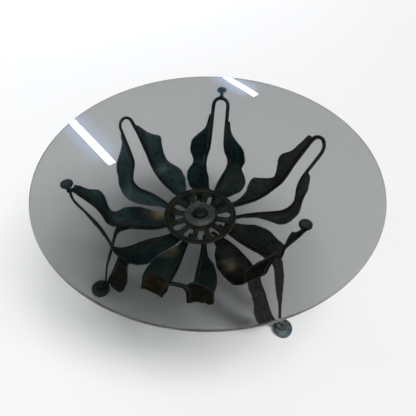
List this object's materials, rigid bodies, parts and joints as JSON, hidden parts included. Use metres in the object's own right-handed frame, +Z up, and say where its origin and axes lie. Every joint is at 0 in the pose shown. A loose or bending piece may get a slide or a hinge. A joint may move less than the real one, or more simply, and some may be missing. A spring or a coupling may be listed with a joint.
{
  "type": "coffee table",
  "caption": "Round coffee table: a loose disc of clear glass on a welded base of torch-cut dark steel that opens like a flower from a spoked hub, on hairpin legs.",
  "frame": {"origin": "on the floor under the middle of the glass top", "axes": "+Z up, +Y away from the side that the picture is taken from, +X to that picture's right"},
  "size_m": [0.813, 0.813, 0.49],
  "materials": {
    "clear_glass": "clear float glass with a light grey tint and a polished edge",
    "hub_casting": "rough casting with a brown-black patina",
    "hub_cap_steel": "dark steel, wiped, half matt",
    "fastener_steel": "blackened steel",
    "bar_steel": "blackened steel bar, waxed",
    "leaf_steel": "torch-cut plate with mill scale, blue-grey and straw heat tints, waxed",
    "pad_steel": "blackened steel",
    "clear_bumper": "clear soft disc",
    "foot_steel": "blue-grey steel, half matt"
  },
  "bodies": {
    "base": {"hub_wheel": "hub_casting", "hub_cap": "hub_cap_steel", "hub_bolt": "fastener_steel", "hub_washer": "fastener_steel", "hub_nut": "fastener_steel", "arm_bar_1": "bar_steel", "arm_bar_2": "bar_steel", "arm_bar_3": "bar_steel", "arm_bar_4": "bar_steel", "arm_bar_5": "bar_steel", "arm_bar_6": "bar_steel", "arm_leaf_1_left": "leaf_steel", "arm_leaf_1_right": "leaf_steel", "arm_leaf_2_left": "leaf_steel", "arm_leaf_2_right": "leaf_steel", "arm_leaf_3_left": "leaf_steel", "arm_leaf_3_right": "leaf_steel", "arm_leaf_4_left": "leaf_steel", "arm_leaf_4_right": "leaf_steel", "arm_leaf_5_left": "leaf_steel", "arm_leaf_5_right": "leaf_steel", "arm_leaf_6_left": "leaf_steel", "arm_leaf_6_right": "leaf_steel", "pad_1": "pad_steel", "pad_2": "pad_steel", "pad_3": "pad_steel", "bumper_1": "clear_bumper", "bumper_2": "clear_bumper", "bumper_3": "clear_bumper", "leg_bar_1": "bar_steel", "leg_bar_2": "bar_steel", "leg_bar_3": "bar_steel", "leg_leaf_1_left": "leaf_steel", "leg_leaf_1_right": "leaf_steel", "leg_leaf_2_left": "leaf_steel", "leg_leaf_2_right": "leaf_steel", "leg_leaf_3_left": "leaf_steel", "leg_leaf_3_right": "leaf_steel", "foot_1": "foot_steel", "foot_2": "foot_steel", "foot_3": "foot_steel"},
    "top": {"glass_top": "clear_glass"}
  },
  "joints": [
    {"name": "glass_lift", "type": "slide", "parent": "base", "child": "top", "axis": [0, 0, 1], "range_m": [0, 0.3]}
  ]
}
